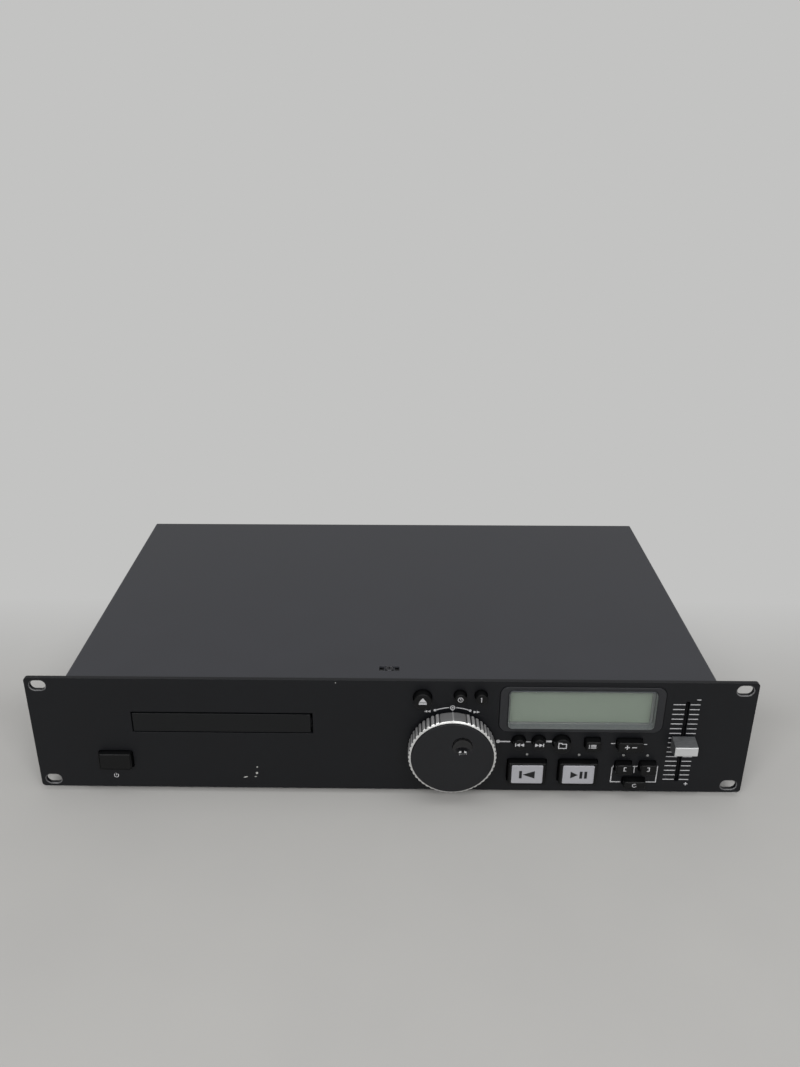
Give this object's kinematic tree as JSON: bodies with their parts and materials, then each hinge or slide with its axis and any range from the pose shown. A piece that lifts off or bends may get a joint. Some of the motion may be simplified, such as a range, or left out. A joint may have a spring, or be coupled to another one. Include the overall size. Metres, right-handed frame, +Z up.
{
  "type": "rack-mount cd player",
  "caption": "Rack-mount disc player with a motorised front tray, jog and shuttle wheel, sliding pitch control, display window and push buttons in a sheet-steel case.",
  "frame": {"origin": "centre of the four rack slots, on the rear face of the front panel where it meets the rack rails", "axes": "+X to the right as the user faces the panel, +Y to the back, +Z up"},
  "size_m": [0.4826, 0.2842, 0.0922],
  "materials": {
    "panel_black": "satin black paint",
    "case_grey": "fine-textured dark grey paint",
    "zinc_steel": "zinc-plated sheet",
    "screw_steel": "plated",
    "foot_rubber": "matte",
    "bezel_black": "moulded satin black",
    "window_clear": "clear acrylic",
    "lcd_green_grey": "unlit liquid crystal glass",
    "holder_grey": "moulded light grey",
    "led_clear": "unlit clear lens",
    "circuit_green": "solder mask",
    "post_brass": "turned",
    "switch_black": "moulded",
    "key_black": "moulded satin black",
    "cap_grey": "moulded light grey",
    "ring_silver": "satin silver with a bright cut edge",
    "jog_black": "satin black, glossy dimple",
    "shaft_steel": "ground",
    "fader_silver": "silver lacquer",
    "tray_black": "moulded",
    "loader_ivory": "moulded",
    "gear_ivory": "moulded acetal",
    "belt_rubber": "matte",
    "motor_steel": "plated can",
    "core_steel": "varnished laminations",
    "inlet_black": "moulded",
    "jack_nickel": "nickel plate"
  },
  "bodies": {
    "case": {"front_panel": "panel_black", "chassis_pan": "zinc_steel", "top_cover": "case_grey", "feet": "foot_rubber", "case_screws": "screw_steel", "panel_nuts": "screw_steel", "display_bezel": "bezel_black", "display_window": "window_clear", "lcd_holder": "holder_grey", "lcd_glass": "lcd_green_grey", "status_leds": "led_clear", "control_board": "circuit_green", "board_posts": "post_brass", "tact_switches": "switch_black", "power_switch": "switch_black", "switch_bracket": "zinc_steel", "jog_encoder": "switch_black", "fader_body": "zinc_steel", "loader_frame": "loader_ivory", "clamp_bridge": "zinc_steel", "loading_motor": "motor_steel", "drive_belt": "belt_rubber", "main_board": "circuit_green", "transformer": "core_steel", "mains_inlet": "inlet_black", "rca_jacks": "jack_nickel", "remote_jack": "inlet_black"},
    "tray": {"disc_tray": "tray_black", "tray_door": "tray_black"},
    "tray_drive": {"tray_gear": "gear_ivory"},
    "loading_pulley": {"motor_pulley": "gear_ivory"},
    "traverse": {"traverse_deck": "zinc_steel", "traverse_motors": "motor_steel", "guide_rods": "shaft_steel"},
    "spindle": {"turntable": "switch_black"},
    "disc_clamper": {"clamper": "gear_ivory"},
    "sled": {"pickup_sled": "switch_black"},
    "sled_drive": {"sled_gear": "gear_ivory"},
    "shuttle": {"shuttle_ring": "ring_silver", "shuttle_clip": "screw_steel"},
    "jog": {"jog_disc": "jog_black", "jog_shaft": "shaft_steel"},
    "fader": {"fader_cap": "fader_silver", "fader_lever": "shaft_steel"},
    "power": {"power_button": "key_black"},
    "cue": {"cue_button": "key_black", "cue_cap": "cap_grey"},
    "play": {"play_button": "key_black", "play_cap": "cap_grey"},
    "eject": {"eject_button": "key_black"},
    "time": {"time_button": "key_black"},
    "single": {"single_button": "key_black"},
    "track_back": {"track_back_button": "key_black"},
    "track_forward": {"track_forward_button": "key_black"},
    "folder": {"folder_button": "key_black"},
    "program": {"program_button": "key_black"},
    "pitch": {"pitch_button": "key_black"},
    "loop_in": {"loop_in_button": "key_black"},
    "loop_out": {"loop_out_button": "key_black"},
    "reloop": {"reloop_button": "key_black"}
  },
  "joints": [
    {"name": "tray_slide", "type": "slide", "parent": "case", "child": "tray", "axis": [0, -1, 0], "range_m": [0, 0.145]},
    {"name": "tray_gear_spin", "type": "hinge", "parent": "case", "child": "tray_drive", "pos_m": [-0.155, 0.022, 0.0037], "axis": [0, 0, 1], "range_deg": [0, 832]},
    {"name": "motor_pulley_spin", "type": "hinge", "parent": "case", "child": "loading_pulley", "pos_m": [-0.11, 0.022, 0], "axis": [0, 0, 1], "range_deg": [0, 2629]},
    {"name": "traverse_tilt", "type": "hinge", "parent": "case", "child": "traverse", "pos_m": [-0.112, 0.186, -0.0026], "axis": [1, 0, 0], "range_deg": [0, 2.9]},
    {"name": "spindle_spin", "type": "hinge", "parent": "traverse", "child": "spindle", "pos_m": [-0.112, 0.078, 0.0094], "axis": [0, 0, 1], "continuous": true},
    {"name": "clamper_spin", "type": "hinge", "parent": "case", "child": "disc_clamper", "pos_m": [-0.112, 0.078, 0.015], "axis": [0, 0, 1], "continuous": true},
    {"name": "sled_slide", "type": "slide", "parent": "traverse", "child": "sled", "axis": [0, 1, 0], "range_m": [0, 0.035]},
    {"name": "sled_gear_spin", "type": "hinge", "parent": "traverse", "child": "sled_drive", "pos_m": [-0.0752, 0.13, 0.0019], "axis": [0, 0, 1], "range_deg": [-419, 0]},
    {"name": "shuttle_turn", "type": "hinge", "parent": "case", "child": "shuttle", "pos_m": [0.0421, -0.008, -0.0076], "axis": [0, -1, 0], "range_deg": [-22.5, 22.5], "stiffness_Nm_per_rad": 0.12},
    {"name": "jog_spin", "type": "hinge", "parent": "case", "child": "jog", "pos_m": [0.0421, -0.008, -0.0076], "axis": [0, -1, 0], "continuous": true},
    {"name": "fader_slide", "type": "slide", "parent": "case", "child": "fader", "axis": [0, 0, 1], "range_m": [-0.029, 0.029]},
    {"name": "power_press", "type": "slide", "parent": "case", "child": "power", "axis": [0, 1, 0], "range_m": [0, 0.003], "stiffness_N_per_m": 1000},
    {"name": "cue_press", "type": "slide", "parent": "case", "child": "cue", "axis": [0, 1, 0], "range_m": [0, 0.0008], "stiffness_N_per_m": 1500},
    {"name": "play_press", "type": "slide", "parent": "case", "child": "play", "axis": [0, 1, 0], "range_m": [0, 0.0008], "stiffness_N_per_m": 1500},
    {"name": "eject_press", "type": "slide", "parent": "case", "child": "eject", "axis": [0, 1, 0], "range_m": [0, 0.0008], "stiffness_N_per_m": 1500},
    {"name": "time_press", "type": "slide", "parent": "case", "child": "time", "axis": [0, 1, 0], "range_m": [0, 0.0008], "stiffness_N_per_m": 1500},
    {"name": "single_press", "type": "slide", "parent": "case", "child": "single", "axis": [0, 1, 0], "range_m": [0, 0.0008], "stiffness_N_per_m": 1500},
    {"name": "track_back_press", "type": "slide", "parent": "case", "child": "track_back", "axis": [0, 1, 0], "range_m": [0, 0.0008], "stiffness_N_per_m": 1500},
    {"name": "track_forward_press", "type": "slide", "parent": "case", "child": "track_forward", "axis": [0, 1, 0], "range_m": [0, 0.0008], "stiffness_N_per_m": 1500},
    {"name": "folder_press", "type": "slide", "parent": "case", "child": "folder", "axis": [0, 1, 0], "range_m": [0, 0.0008], "stiffness_N_per_m": 1500},
    {"name": "program_press", "type": "slide", "parent": "case", "child": "program", "axis": [0, 1, 0], "range_m": [0, 0.0008], "stiffness_N_per_m": 1500},
    {"name": "pitch_press", "type": "slide", "parent": "case", "child": "pitch", "axis": [0, 1, 0], "range_m": [0, 0.0008], "stiffness_N_per_m": 1500},
    {"name": "loop_in_press", "type": "slide", "parent": "case", "child": "loop_in", "axis": [0, 1, 0], "range_m": [0, 0.0008], "stiffness_N_per_m": 1500},
    {"name": "loop_out_press", "type": "slide", "parent": "case", "child": "loop_out", "axis": [0, 1, 0], "range_m": [0, 0.0008], "stiffness_N_per_m": 1500},
    {"name": "reloop_press", "type": "slide", "parent": "case", "child": "reloop", "axis": [0, 1, 0], "range_m": [0, 0.0008], "stiffness_N_per_m": 1500}
  ],
  "couplings": [
    {"joint": "tray_gear_spin", "follows": "tray_slide", "rad_per_m": 100},
    {"joint": "motor_pulley_spin", "follows": "tray_slide", "rad_per_m": 316.22},
    {"joint": "clamper_spin", "follows": "spindle_spin", "ratio": 1},
    {"joint": "sled_gear_spin", "follows": "sled_slide", "rad_per_m": -208.33}
  ]
}
